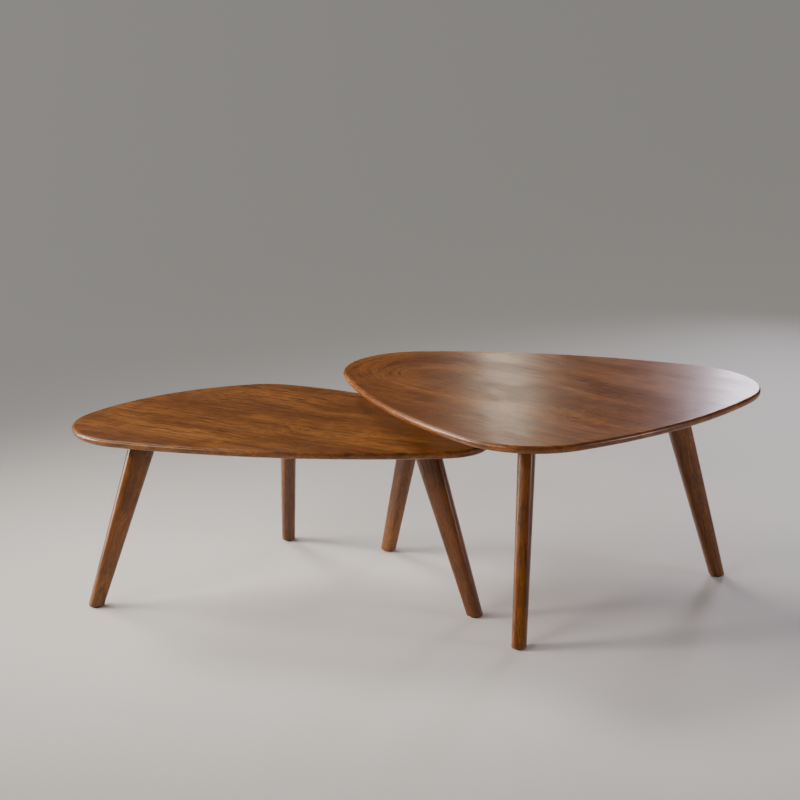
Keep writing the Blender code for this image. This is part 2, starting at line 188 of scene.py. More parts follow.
def make_walnut_figure():
    """The figure of walnut with its grain along X: bands, streaks, growth lines, flecks, pores, and a
    painted sheen, which is lighter and darker cross-grain patches painted into the colour in place of the
    wood's shimmer.
    """
    group, given, result = new_group(
        "walnut_figure",
        [("Grain", "vector", None), ("Dark", "colour", (0.03, 0.01, 0.004, 1.0)),
         ("Heart", "colour", (0.12, 0.04, 0.015, 1.0)), ("Pale", "colour", (0.25, 0.10, 0.04, 1.0)),
         ("Streaks", "value", 1.0), ("Flecks", "value", 1.0), ("Pores", "value", 1.0)],
        [("Colour", "colour"), ("Gloss", "value"), ("Height", "value")])
    grain = given["Grain"]

    # The fibres wander a little across the board instead of running dead straight.
    wander = stretched_noise(group, grain, 3.0, 4.5, detail=2.0, shift=3.1)
    sway = maths(group, "MULTIPLY", maths(group, "SUBTRACT", wander, 0.5), 0.085)
    offset = put(group, "ShaderNodeCombineXYZ", {"Y": sway, "Z": sway}).outputs[0]
    bent = put(group, "ShaderNodeVectorMath", {0: grain, 1: offset}, operation="ADD").outputs[0]

    bands = stretched_noise(group, bent, 1.8, 15.0, detail=3.0, shift=1.7)
    bands = remap(group, bands, 0.34, 0.68)
    streaks = stretched_noise(group, bent, 3.6, 105.0, detail=4.0, rough=0.66, shift=5.3)
    streaks = remap(group, streaks, 0.42, 0.70)
    fibres = stretched_noise(group, bent, 26.0, 620.0, detail=2.0, shift=7.9)
    fibres = remap(group, fibres, 0.28, 0.74)
    flecks = stretched_noise(group, bent, 15.0, 300.0, detail=2.0, rough=0.5, shift=8.7)
    flecks = maths(group, "MULTIPLY", remap(group, flecks, 0.54, 0.72), given["Flecks"])

    # Growth lines: dark late wood every few millimetres, strong in some places and lost in others.
    across = put(group, "ShaderNodeSeparateXYZ", {0: bent}).outputs["Y"]
    drift = stretched_noise(group, bent, 2.6, 14.0, detail=3.0, shift=2.3)
    drift = maths(group, "MULTIPLY", drift, 26.0)
    phase = maths(group, "ADD", maths(group, "MULTIPLY", across, 360.0), drift)
    line = remap(group, maths(group, "SINE", phase), 0.30, 1.0)
    presence = remap(group, stretched_noise(group, bent, 2.4, 9.0, detail=2.0, shift=9.1), 0.44, 0.68)
    growth = maths(group, "MULTIPLY", line, presence)

    pores = remap(group, stretched_noise(group, bent, 130.0, 2100.0, detail=1.0, shift=4.4), 0.62, 0.70)
    pores = maths(group, "MULTIPLY", pores, given["Pores"])
    # Painted sheen: patches across the grain that lighten and darken the colour, standing in for the
    # shimmer that light gives the fibres.
    painted_sheen = stretched_noise(group, grain, 24.0, 8.0, detail=2.0, distortion=0.4, shift=6.6)

    colour = blend_colours(group, bands, given["Heart"], given["Pale"])
    dark_share = maths(group, "MULTIPLY", streaks, 0.62)
    dark_share = maths(group, "MULTIPLY", dark_share, given["Streaks"], clamp=True)
    colour = blend_colours(group, dark_share, colour, given["Dark"])
    colour = blend_colours(group, maths(group, "MULTIPLY", growth, 0.40), colour, given["Dark"])
    colour = blend_colours(group, maths(group, "MULTIPLY", flecks, 0.34), colour, given["Dark"])
    fibre_tone = remap(group, fibres, 0.0, 1.0, 0.68, 1.26)
    painted_sheen_tone = remap(group, painted_sheen, 0.30, 0.70, 0.90, 1.10)
    tone = maths(group, "MULTIPLY", fibre_tone, painted_sheen_tone)
    grey = put(group, "ShaderNodeCombineColor", {0: tone, 1: tone, 2: tone}).outputs[0]
    colour = blend_colours(group, 1.0, colour, grey, "MULTIPLY")
    colour = blend_colours(group, maths(group, "MULTIPLY", pores, 0.50), colour, given["Dark"])
    group.links.new(colour, result["Colour"])

    pore_gloss = maths(group, "MULTIPLY", pores, 0.10)
    gloss = maths(group, "ADD", maths(group, "MULTIPLY", fibres, 0.05), pore_gloss)
    group.links.new(gloss, result["Gloss"])
    relief = maths(group, "SUBTRACT", maths(group, "MULTIPLY", fibres, 0.35), pores)
    relief = maths(group, "SUBTRACT", relief, maths(group, "MULTIPLY", growth, 0.25))
    group.links.new(relief, result["Height"])
    return group


def make_handling_marks():
    """Faint smears, hairline scratches and dust that vary the gloss of a finished surface."""
    group, given, result = new_group(
        "handling_marks", [("Surface", "vector", None), ("Amount", "value", 1.0)],
        [("Gloss", "value"), ("Dust", "value"), ("Scratch", "value")])
    place = given["Surface"]
    smear = stretched_noise(group, place, 5.0, 9.0, detail=4.0, distortion=0.8, shift=1.1)
    smear = remap(group, smear, 0.40, 0.72)
    turned = put(group, "ShaderNodeMapping", {"Vector": place, "Rotation": (0.0, 0.0, 0.9)}).outputs[0]
    first = remap(group, stretched_noise(group, place, 9.0, 900.0, detail=0.0, shift=8.2), 0.74, 0.78)
    second = remap(group, stretched_noise(group, turned, 7.0, 800.0, detail=0.0, shift=2.9), 0.75, 0.79)
    scratch = maths(group, "MULTIPLY", maths(group, "MAXIMUM", first, second), given["Amount"])
    specks = remap(group, stretched_noise(group, place, 700.0, 700.0, detail=2.0, shift=3.7), 0.62, 0.76)
    gloss = maths(group, "MULTIPLY", smear, maths(group, "MULTIPLY", given["Amount"], 0.10))
    group.links.new(maths(group, "ADD", gloss, maths(group, "MULTIPLY", scratch, 0.10)), result["Gloss"])
    group.links.new(maths(group, "MULTIPLY", specks, given["Amount"]), result["Dust"])
    group.links.new(scratch, result["Scratch"])
    return group


ARCHED_GRAIN = make_arched_grain()
WALNUT_FIGURE = make_walnut_figure()
HANDLING_MARKS = make_handling_marks()


def start_material(name, **constants):
    """A material with a Principled shader; constants are set on the shader's own sockets."""
    material = bpy.data.materials.new(name)
    material.use_nodes = True
    tree = material.node_tree
    shader = tree.nodes["Principled BSDF"]
    for socket, value in constants.items():
        shader.inputs[socket.replace("_", " ")].default_value = value
    return material, tree, shader


def place_group(tree, group, inputs):
    node = put(tree, "ShaderNodeGroup", node_tree=group)
    for name, value in inputs.items():
        if isinstance(value, bpy.types.NodeSocket):
            tree.links.new(value, node.inputs[name])
        else:
            node.inputs[name].default_value = value
    return node.outputs


def make_walnut(name, palette, roughness, along_rim=False, arch_centre=None, streaks=1.0, flecks=1.0,
                pores=1.0, marks=1.0, coat=0.12, coat_roughness=0.20):
    """Lacquered walnut. Its grain follows the edge strip along a rim, and the board elsewhere."""
    material, tree, shader = start_material(name, Coat_Weight=coat, Coat_Roughness=coat_roughness,
                                            IOR=1.46)
    if along_rim:
        grain = put(tree, "ShaderNodeUVMap", uv_map="rim_run").outputs[0]
    else:
        grain = put(tree, "ShaderNodeAttribute", attribute_name="grain").outputs["Vector"]
    if arch_centre:
        arched = place_group(tree, ARCHED_GRAIN, {"Grain": grain, "Centre": arch_centre, "Arch": 1.0})
        grain = arched["Grain"]
    dark, heart, pale = ((*colour, 1.0) for colour in WALNUTS[palette])
    figure = place_group(tree, WALNUT_FIGURE, {
        "Grain": grain, "Dark": dark, "Heart": heart, "Pale": pale,
        "Streaks": streaks, "Flecks": flecks, "Pores": pores})
    handled = place_group(tree, HANDLING_MARKS, {"Surface": grain, "Amount": marks})
    dust = maths(tree, "MULTIPLY", handled["Dust"], 0.04)
    dusty = blend_colours(tree, dust, figure["Colour"], (0.5, 0.47, 0.42))
    tree.links.new(dusty, shader.inputs["Base Color"])
    rough = maths(tree, "ADD", maths(tree, "ADD", figure["Gloss"], handled["Gloss"]), roughness)
    tree.links.new(rough, shader.inputs["Roughness"])
    height = maths(tree, "SUBTRACT", figure["Height"], handled["Scratch"])
    bump = put(tree, "ShaderNodeBump", {"Height": height, "Strength": 0.05, "Distance": 0.0004})
    tree.links.new(bump.outputs[0], shader.inputs["Normal"])
    return material


def make_powder_coat():
    material, tree, shader = start_material("black_powder_coat", IOR=1.5)
    place = put(tree, "ShaderNodeTexCoord").outputs["Object"]
    peel = stretched_noise(tree, place, 900.0, 900.0, detail=2.0)
    handled = place_group(tree, HANDLING_MARKS, {"Surface": place, "Amount": 1.4})
    tone = blend_colours(tree, peel, (0.012, 0.012, 0.013), (0.030, 0.030, 0.032))
    dust = maths(tree, "MULTIPLY", handled["Dust"], 0.12)
    colour = blend_colours(tree, dust, tone, (0.30, 0.29, 0.27))
    tree.links.new(colour, shader.inputs["Base Color"])
    tree.links.new(maths(tree, "ADD", handled["Gloss"], 0.42), shader.inputs["Roughness"])
    bump = put(tree, "ShaderNodeBump", {"Height": peel, "Strength": 0.25, "Distance": 0.0003})
    tree.links.new(bump.outputs[0], shader.inputs["Normal"])
    return material


def make_plated_metal(name, base, bright, roughness):
    """Plated or machined metal with turning marks, a mottled plating and a little wear."""
    material, tree, shader = start_material(name, Metallic=1.0)
    place = put(tree, "ShaderNodeTexCoord").outputs["Object"]
    mottle = stretched_noise(tree, place, 350.0, 350.0, detail=3.0)
    turning = stretched_noise(tree, place, 60.0, 2600.0, detail=1.0)
    handled = place_group(tree, HANDLING_MARKS, {"Surface": place, "Amount": 1.5})
    tree.links.new(blend_colours(tree, mottle, base, bright), shader.inputs["Base Color"])
    rough = maths(tree, "ADD", handled["Gloss"], roughness)
    rough = maths(tree, "ADD", maths(tree, "MULTIPLY", mottle, 0.16), rough)
    tree.links.new(rough, shader.inputs["Roughness"])
    bump = put(tree, "ShaderNodeBump", {"Height": turning, "Strength": 0.12, "Distance": 0.0002})
    tree.links.new(bump.outputs[0], shader.inputs["Normal"])
    return material


def make_glide_nylon():
    material, tree, shader = start_material("brown_nylon", IOR=1.53)
    place = put(tree, "ShaderNodeTexCoord").outputs["Object"]
    cloud = stretched_noise(tree, place, 220.0, 220.0, detail=3.0)
    handled = place_group(tree, HANDLING_MARKS, {"Surface": place, "Amount": 2.0})
    tone = blend_colours(tree, cloud, (0.028, 0.016, 0.010), (0.050, 0.030, 0.019))
    dust = maths(tree, "MULTIPLY", handled["Dust"], 0.25)
    colour = blend_colours(tree, dust, tone, (0.35, 0.33, 0.30))
    tree.links.new(colour, shader.inputs["Base Color"])
    tree.links.new(maths(tree, "ADD", handled["Gloss"], 0.50), shader.inputs["Roughness"])
    bump = put(tree, "ShaderNodeBump", {"Height": cloud, "Strength": 0.15, "Distance": 0.0003})
    tree.links.new(bump.outputs[0], shader.inputs["Normal"])
    return material


RIM_LOOK = dict(roughness=0.22, along_rim=True, streaks=0.6, flecks=0.4, pores=0.6, coat=0.35,
                coat_roughness=0.14)
UNDER_LOOK = dict(roughness=0.46, flecks=0.6, pores=1.2, marks=0.6)
FINISHES = {
    "tall_field": make_walnut("tall_veneer", "tall_field", 0.27, arch_centre=(-0.30, -0.03, 0.0),
                              streaks=0.8, flecks=0.9),
    "tall_rim": make_walnut("tall_lipping", "tall_field", **RIM_LOOK),
    "tall_under": make_walnut("tall_backing", "tall_field", **UNDER_LOOK),
    "low_field": make_walnut("low_veneer", "low_field", 0.30, streaks=1.0, flecks=0.7),
    "low_rim": make_walnut("low_lipping", "low_field", **RIM_LOOK),
    "low_under": make_walnut("low_backing", "low_field", **UNDER_LOOK),
    "leg": make_walnut("leg_walnut", "leg", 0.28, streaks=0.9, flecks=0.5, pores=0.8),
    "plate": make_powder_coat(),
    "zinc": make_plated_metal("zinc_plate", (0.42, 0.42, 0.41), (0.62, 0.62, 0.58), 0.22),
    "brass": make_plated_metal("machined_brass", (0.50, 0.33, 0.11), (0.66, 0.46, 0.18), 0.20),
    "glide": make_glide_nylon(),
}


# ==== mesh helpers ===============================================================================
def finish_piece(name, mesh, finishes, node, body, matrix=None):
    """Puts a mesh in the scene as the piece that stands for a frame node."""
    piece = bpy.data.objects.new(name, mesh)
    bpy.context.scene.collection.objects.link(piece)
    if matrix is not None:
        piece.matrix_world = matrix
    mesh.materials.clear()
    for finish in finishes:
        mesh.materials.append(FINISHES[finish])
    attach(piece, body)
    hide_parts(node)
    return piece


def smooth(mesh, angle):
    """Smooth shading, with a crease left wherever two faces meet at more than angle degrees."""
    mesh.shade_smooth()
    mesh.set_sharp_from_angle(angle=math.radians(angle))


def lay_grain(mesh, board):
    """Stores where each point lies in its board, whose X runs along the grain."""
    points = np.zeros(len(mesh.vertices) * 3)
    mesh.vertices.foreach_get("co", points)
    inverse = np.array(board.inverted())
    in_board = points.reshape(-1, 3) @ inverse[:3, :3].T + inverse[:3, 3]
    grain = mesh.attributes.new("grain", "FLOAT_VECTOR", "POINT")
    grain.data.foreach_set("vector", in_board.ravel())


def node_points(node):
    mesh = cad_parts[node].data
    points = np.zeros(len(mesh.vertices) * 3)
    mesh.vertices.foreach_get("co", points)
    return points.reshape(-1, 3)


def node_centre(node):
    low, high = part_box(node)
    return (low + high) / 2


def apply_modifiers(piece):
    """Gives the piece the mesh that its modifiers make, and takes the modifiers off."""
    bpy.context.view_layer.update()
    graph = bpy.context.evaluated_depsgraph_get()
    mesh = bpy.data.meshes.new_from_object(piece.evaluated_get(graph), preserve_all_data_layers=True,
                                           depsgraph=graph)
    piece.modifiers.clear()
    piece.data = mesh


def bore_out(piece, holes):
    """Cuts upright round holes: each is (its middle, radius below, radius above, length)."""
    drills = bmesh.new()
    for middle, radius_below, radius_above, length in holes:
        bmesh.ops.create_cone(drills, cap_ends=True, segments=ROUND_SIDES, radius1=radius_below,
                              radius2=radius_above, depth=length, matrix=Matrix.Translation(middle))
    mesh = bpy.data.meshes.new("drills")
    drills.to_mesh(mesh)
    drills.free()
    cutter = bpy.data.objects.new("drills", mesh)
    bpy.context.scene.collection.objects.link(cutter)
    cut = piece.modifiers.new("bores", "BOOLEAN")
    cut.operation, cut.object = "DIFFERENCE", cutter
    apply_modifiers(piece)
    bpy.data.objects.remove(cutter, do_unlink=True)


# ==== table tops =================================================================================
def top_outline(node):
    """The outline of a top as a smooth closed curve through the frame's own corner points."""
    points = node_points(node)[:, :2]
    corners = [points[n] for n in geometry.convex_hull_2d([Vector(p) for p in points])]
    apart = [corners[0]]
    for corner in corners[1:]:
        if np.linalg.norm(corner - apart[-1]) > MM:
            apart.append(corner)
    if np.linalg.norm(apart[0] - apart[-1]) < MM:
        apart.pop()
    count = len(apart)
    area = sum(apart[n - 1][0] * apart[n][1] - apart[n][0] * apart[n - 1][1] for n in range(count))
    if area < 0:
        apart.reverse()
    curve = []
    for n in range(count):
        a, b, c, d = (apart[(n + k) % count] for k in (-1, 0, 1, 2))
        for step in range(OUTLINE_STEPS):
            t = step / OUTLINE_STEPS
            curve.append(0.5 * (2 * b + (c - a) * t + (2 * a - 5 * b + 4 * c - d) * t**2
                                + (3 * b - a - 3 * c + d) * t**3))
    return np.array(curve)


def rim_profile(thickness):
    """(inset, drop) points from the veneer's edge over the joint, shoulder, side and undercut."""
    profile = [(LIPPING_WIDTH + JOINT_WIDTH / 2, 0.0), (LIPPING_WIDTH, JOINT_DEPTH),
               (LIPPING_WIDTH - JOINT_WIDTH / 2, 0.0)]
    for step in range(SHOULDER_STEPS + 1):
        angle = math.pi / 2 * step / SHOULDER_STEPS
        profile.append((SHOULDER_RADIUS * (1 - math.sin(angle)), SHOULDER_RADIUS * (1 - math.cos(angle))))
    for step in range(UNDERCUT_STEPS + 1):
        angle = math.pi / 2 * step / UNDERCUT_STEPS
        profile.append((UNDERCUT_RADIUS * (1 - math.cos(angle)),
                        thickness - UNDERCUT_RADIUS * (1 - math.sin(angle))))
    return profile


def make_top(table, grain_bearing):
    """A veneered board with a solid lipping, its joint a fine groove, bored for the leg plates' inserts."""
    node = table + "_top"
    low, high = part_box(node)
    thickness = high.z - low.z
    outline = top_outline(node)
    ahead, behind = np.roll(outline, -1, axis=0), np.roll(outline, 1, axis=0)
    along = (ahead - behind) / np.linalg.norm(ahead - behind, axis=1)[:, None]
    outward = np.stack([along[:, 1], -along[:, 0]], axis=1)
    steps = np.linalg.norm(ahead - outline, axis=1)
    run = np.concatenate([[0.0], np.cumsum(steps)])
    outline = outline - outward * RIM_EASE
    profile = rim_profile(thickness)
    across = [0.0]
    for (inset_a, drop_a), (inset_b, drop_b) in zip(profile, profile[1:]):
        across.append(across[-1] + math.hypot(inset_b - inset_a, drop_b - drop_a))

    shape = bmesh.new()
    grain = shape.loops.layers.uv.new("rim_run")

    def ring(points, drop):
        return [shape.verts.new((x, y, high.z - drop)) for x, y in points]

    def band(first, second, material, rows=None):
        count = len(first)
        for n in range(count):
            m = (n + 1) % count
            face = shape.faces.new((first[n], second[n], second[m], first[m]))
            face.material_index = material
            if rows:
                here, there = run[n], run[n + 1]
                spots = ((here, rows[0]), (here, rows[1]), (there, rows[1]), (there, rows[0]))
                for loop, spot in zip(face.loops, spots):
                    loop[grain].uv = spot

    middle = outline.mean(axis=0)
    rings = [ring(outline - outward * inset, drop) for inset, drop in profile]
    for n in range(len(rings) - 1):
        band(rings[n], rings[n + 1], 1, (across[n], across[n + 1]))
    faces = ((rings[0], profile[0][1], 0, True), (rings[-1], thickness, 2, False))
    for border, drop, material, upward in faces:
        edge = np.array([v.co.xy for v in border])
        outer = border
        for share in FACE_RINGS:
            inner = ring(middle + (edge - middle) * share, drop)
            band(*((inner, outer) if upward else (outer, inner)), material)
            outer = inner
        core = shape.faces.new(outer if upward else outer[::-1])
        core.material_index = material
    mesh = bpy.data.meshes.new(node)
    shape.to_mesh(mesh)
    shape.free()
    finishes = (table + "_field", table + "_rim", table + "_under")
    top = finish_piece(table + "_table_top", mesh, finishes, node, TABLES[table]["body"])
    bores = []
    for side in TABLES[table]["sides"]:
        for number in (1, 2):
            insert_low, insert_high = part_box(f"{table}_insert_{side}_{number}")
            radius = (insert_high.x - insert_low.x) / 2 + INSERT_ROOM
            depth = insert_high.z - insert_low.z + INSERT_END_ROOM
            spot = (insert_low + insert_high) / 2
            seat = (spot.x, spot.y, low.z + depth - (depth + OVERCUT) / 2)
            bores.append((seat, radius, radius, depth + OVERCUT))
    bore_out(top, bores)
    centre = (low + high) / 2
    turn = Matrix.Rotation(math.radians(grain_bearing), 4, "Z")
    lay_grain(top.data, Matrix.Translation((centre.x, centre.y, high.z)) @ turn)
    smooth(top.data, TOP_CREASE)


# ==== legs =======================================================================================
def leg_ends(node):
    """The centres of a leg's head and foot, and the length and width of the level section at each."""
    points = node_points(node)
    ends = []
    for level in (points[:, 2].max(), points[:, 2].min()):
        cap = points[np.abs(points[:, 2] - level) < SAME_LEVEL]
        hull = np.array([cap[n] for n in geometry.convex_hull_2d([Vector(p[:2]) for p in cap])])
        ends.append(hull)
    head, foot = (Vector((*((hull[:, :2].max(0) + hull[:, :2].min(0)) / 2), hull[0, 2]))
                  for hull in ends)
    lean = (foot - head).xy.normalized()
    sizes = []
    for hull in ends:
        along = hull[:, :2] @ np.array(lean)
        aside = hull[:, :2] @ np.array((-lean.y, lean.x))
        sizes.append((np.ptp(along) + 2 * LEG_EDGE, np.ptp(aside) + 2 * LEG_EDGE))
    return head, foot, sizes


def make_leg(table, side, board):
    """A tapering oval leg with eased ends, cut from its own place in the board."""
    node = f"{table}_leg_{side}"
    head, foot, ((head_length, head_width), (foot_length, foot_width)) = leg_ends(node)
    axis = (head - foot).normalized()
    lean = (foot - head).xy.normalized()
    aside = Vector((-lean.y, lean.x, 0.0))
    turn = Matrix((axis, aside, axis.cross(aside))).transposed().to_4x4()
    blank = Matrix.Translation(foot) @ turn @ Matrix.Translation(board)

    rise = head.z - foot.z
    levels = []
    for step in range(LEG_EDGE_STEPS + 1):
        angle = math.pi / 2 * step / LEG_EDGE_STEPS
        levels.append((LEG_EDGE * (1 - math.cos(angle)), LEG_EDGE * (1 - math.sin(angle))))
    body = [(LEG_EDGE + (rise - 2 * LEG_EDGE) * n / LEG_RINGS, 0.0) for n in range(1, LEG_RINGS)]
    levels += body + [(rise - height, inset) for height, inset in reversed(levels)]

    shape = bmesh.new()
    rings = []
    for height, inset in levels:
        share = height / rise
        centre = foot.lerp(head, share)
        half_length = (foot_length + (head_length - foot_length) * share) / 2 - inset
        half_width = (foot_width + (head_width - foot_width) * share) / 2 - inset
        ring = []
        for n in range(LEG_SIDES):
            c, s = math.cos(2 * math.pi * n / LEG_SIDES), math.sin(2 * math.pi * n / LEG_SIDES)
            x = half_length * math.copysign(abs(c) ** (2 / LEG_SECTION_POWER), c)
            y = half_width * math.copysign(abs(s) ** (2 / LEG_SECTION_POWER), s)
            spot = centre + Vector((lean.x * x, lean.y * x, 0.0)) + aside * y
            ring.append(shape.verts.new(spot))
        rings.append(ring)
    for lower, upper in zip(rings, rings[1:]):
        for n in range(LEG_SIDES):
            m = (n + 1) % LEG_SIDES
            shape.faces.new((lower[n], lower[m], upper[m], upper[n]))
    shape.faces.new(rings[0][::-1])
    shape.faces.new(rings[-1])
    mesh = bpy.data.meshes.new(node)
    shape.to_mesh(mesh)
    shape.free()
    leg = finish_piece(f"{table}_{side}_leg", mesh, ("leg",), node, TABLES[table]["body"])
    holes = []
    for name in (f"{table}_leg_screw_{side}_1", f"{table}_leg_screw_{side}_2"):
        low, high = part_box(name)
        length = high.z - low.z
        middle = ((low.x + high.x) / 2, (low.y + high.y) / 2, low.z + length / 2 - OVERCUT)
        holes.append((middle, SCREW_HOLE, SCREW_HOLE, length))
    low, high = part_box(f"{table}_glide_{side}")
    length = high.z - foot.z + 2 * OVERCUT
    middle = ((low.x + high.x) / 2, (low.y + high.y) / 2, foot.z - OVERCUT + length / 2)
    holes.append((middle, NAIL_HOLE, NAIL_HOLE, length))
    bore_out(leg, holes)
    lay_grain(leg.data, blank)
    smooth(leg.data, LEG_CREASE)


# ==== plates and fasteners =======================================================================
def close_rings(shape, rings):
    """Faces between neighbouring rings; a ring of one point is a pole."""
    for first, second in zip(rings, rings[1:]):
        count = max(len(first), len(second))
        for n in range(count):
            m = (n + 1) % count
            corners = [first[n % len(first)], second[n % len(second)],
                       second[m % len(second)], first[m % len(first)]]
            shape.faces.new(list(dict.fromkeys(corners)))


def plain_ring(shape, radius, height):
    return [shape.verts.new((radius * math.cos(2 * math.pi * n / ROUND_SIDES),
                             radius * math.sin(2 * math.pi * n / ROUND_SIDES), height))
            for n in range(ROUND_SIDES)]


def pole(shape, height):
    return [shape.verts.new((0.0, 0.0, height))]


def threaded_rings(shape, start, end, crest, depth, pitch, run_in):
    """Rings from height start to end that follow a helical thread, fading out over run_in at each end.

    A depth below zero cuts the thread outward from crest, for the inside of a nut or an insert.
    """
    count = max(2, round(abs(end - start) / pitch * THREAD_STEPS))
    rings = []
    for step in range(count + 1):
        height = start + (end - start) * step / count
        fade = min(1.0, min(abs(height - start), abs(end - height)) / run_in)
        ring = []
        for n in range(ROUND_SIDES):
            angle = 2 * math.pi * n / ROUND_SIDES
            phase = (height / pitch - n / ROUND_SIDES) % 1.0
            tooth = 1.0 - abs(2.0 * phase - 1.0)
            radius = crest - depth * (1.0 - tooth * fade)
            ring.append(shape.verts.new((radius * math.cos(angle), radius * math.sin(angle), height)))
        rings.append(ring)
    return rings


def to_mesh(shape, name):
    bmesh.ops.recalc_face_normals(shape, faces=shape.faces)
    mesh = bpy.data.meshes.new(name)
    shape.to_mesh(mesh)
    shape.free()
    return mesh


def cut_pocket(mesh, name, lobes, radius, depth, face_height):
    """Cuts a driver's pocket into the face at face_height: a star with lobes, or a hexagon with none."""
    points = []
    count = ROUND_SIDES if lobes else 6
    for n in range(count):
        angle = 2 * math.pi * n / count
        reach = radius * (1 + 0.13 * math.cos(lobes * angle)) if lobes else radius
        points.append((reach * math.cos(angle), reach * math.sin(angle)))
    tool = bmesh.new()
    upper = [tool.verts.new((x, y, face_height + depth)) for x, y in points]
    lower = [tool.verts.new((x, y, face_height - depth)) for x, y in points]
    close_rings(tool, [upper, lower])
    tool.faces.new(upper[::-1])
    tool.faces.new(lower)
    cutter = bpy.data.objects.new("pocket", to_mesh(tool, "pocket"))
    blank = bpy.data.objects.new(name, mesh)
    for obj in (cutter, blank):
        bpy.context.scene.collection.objects.link(obj)
    cut = blank.modifiers.new("pocket", "BOOLEAN")
    cut.operation, cut.object = "DIFFERENCE", cutter
    apply_modifiers(blank)
    result = blank.data
    for obj in (cutter, blank):
        bpy.data.objects.remove(obj, do_unlink=True)
    return result


def bolt_mesh():
    """A button-head machine bolt: bearing face on z = 0, head below it, threaded shank above."""
    low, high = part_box("tall_plate_bolt_front_1")
    head, length = (high.x - low.x) / 2, high.z - low.z - BOLT_HEAD_HEIGHT
    shape = bmesh.new()
    rings = [pole(shape, -BOLT_HEAD_HEIGHT)]
    for step in range(1, BOLT_HEAD_STEPS + 1):
        angle = math.pi / 2 * step / BOLT_HEAD_STEPS
        rings.append(plain_ring(shape, head * math.sin(angle) ** 0.9,
                                -BOLT_HEAD_HEIGHT + BOLT_HEAD_HEIGHT * 0.82 * (1 - math.cos(angle))))
    rings += [plain_ring(shape, head, -0.3 * MM), plain_ring(shape, head - 0.3 * MM, 0.0),
              plain_ring(shape, BOLT_SHANK, 0.0), plain_ring(shape, BOLT_SHANK, 1.2 * MM)]
    rings += threaded_rings(shape, 1.4 * MM, length - 0.8 * MM, BOLT_SHANK, BOLT_THREAD, BOLT_PITCH,
                            run_in=0.8 * MM)
    rings += [plain_ring(shape, BOLT_SHANK - BOLT_THREAD, length), pole(shape, length)]
    close_rings(shape, rings)
    mesh = cut_pocket(to_mesh(shape, "plate_bolt"), "plate_bolt", 0, BOLT_POCKET_RADIUS,
                      BOLT_POCKET_DEPTH, -BOLT_HEAD_HEIGHT)
    smooth(mesh, METAL_CREASE)
    return mesh


def leg_screw_mesh():
    """A countersunk wood screw that hangs from z = 0, with a star pocket and a coarse thread."""
    low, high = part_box("tall_leg_screw_front_1")
    length = high.z - low.z
    neck = SCREW_SHANK - 0.3 * MM
    shape = bmesh.new()
    rings = [pole(shape, 0.0), plain_ring(shape, SCREW_HEAD - 0.25 * MM, 0.0),
             plain_ring(shape, SCREW_HEAD, -0.25 * MM), plain_ring(shape, neck, -2.4 * MM),
             plain_ring(shape, neck, -9.0 * MM)]
    rings += threaded_rings(shape, -9.5 * MM, SCREW_TIP - length, SCREW_SHANK, SCREW_THREAD, SCREW_PITCH,
                            run_in=1.5 * MM)
    rings += [plain_ring(shape, SCREW_SHANK - SCREW_THREAD - 0.2 * MM, SCREW_TIP - length - 0.8 * MM),
              plain_ring(shape, 0.6 * MM, 1.2 * MM - length), pole(shape, -length)]
    close_rings(shape, rings)
    mesh = cut_pocket(to_mesh(shape, "leg_screw"), "leg_screw", SCREW_POCKET_LOBES, SCREW_POCKET_RADIUS,
                      SCREW_POCKET_DEPTH, 0.0)
    smooth(mesh, METAL_CREASE)
    return mesh


def insert_mesh():
    """A brass insert from z = 0 up: coarse thread outside, fine thread inside."""
    low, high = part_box("tall_insert_front_1")
    length = high.z - low.z
    crest = (high.x - low.x) / 2
    mouth, shoulder = INSERT_BORE + INSERT_EDGE, crest - INSERT_EDGE
    shape = bmesh.new()
    rings = [plain_ring(shape, mouth, length), plain_ring(shape, shoulder, length),
             plain_ring(shape, shoulder, length - INSERT_EDGE)]
    rings += threaded_rings(shape, length - 2 * INSERT_EDGE, 2 * INSERT_EDGE, crest, INSERT_THREAD,
                            INSERT_PITCH, run_in=1.0 * MM)
    rings += [plain_ring(shape, shoulder, 0.0), plain_ring(shape, mouth, 0.0)]
    rings += threaded_rings(shape, INSERT_EDGE, length - INSERT_EDGE, INSERT_BORE, -BOLT_THREAD / 2,
                            BOLT_PITCH, run_in=0.8 * MM)
    rings.append(rings[0])
    close_rings(shape, rings)
    mesh = to_mesh(shape, "threaded_insert")
    smooth(mesh, METAL_CREASE)
    return mesh


def glide_mesh():
    """A nail-on nylon glide standing on z = 0: rounded wearing face, collar and nail."""
    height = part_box("tall_glide_front")[1].z
    shape = bmesh.new()
    rings = [pole(shape, 0.0)]
    for step in range(GLIDE_EDGE_STEPS + 1):
        angle = math.pi / 2 * step / GLIDE_EDGE_STEPS
        rings.append(plain_ring(shape, GLIDE_RADIUS - GLIDE_EDGE + GLIDE_EDGE * math.sin(angle),
                                GLIDE_EDGE - GLIDE_EDGE * math.cos(angle)))
    rings += [plain_ring(shape, GLIDE_RADIUS, GLIDE_THICKNESS - 0.5 * MM),
              plain_ring(shape, GLIDE_RADIUS - 0.5 * MM, GLIDE_THICKNESS),
              plain_ring(shape, GLIDE_NAIL, GLIDE_THICKNESS),
              plain_ring(shape, GLIDE_NAIL, height - 3 * MM),
              plain_ring(shape, GLIDE_NAIL * 0.5, height - 1.2 * MM), pole(shape, height)]
    close_rings(shape, rings)
    mesh = to_mesh(shape, "leg_glide")
    smooth(mesh, GLIDE_CREASE)
    return mesh


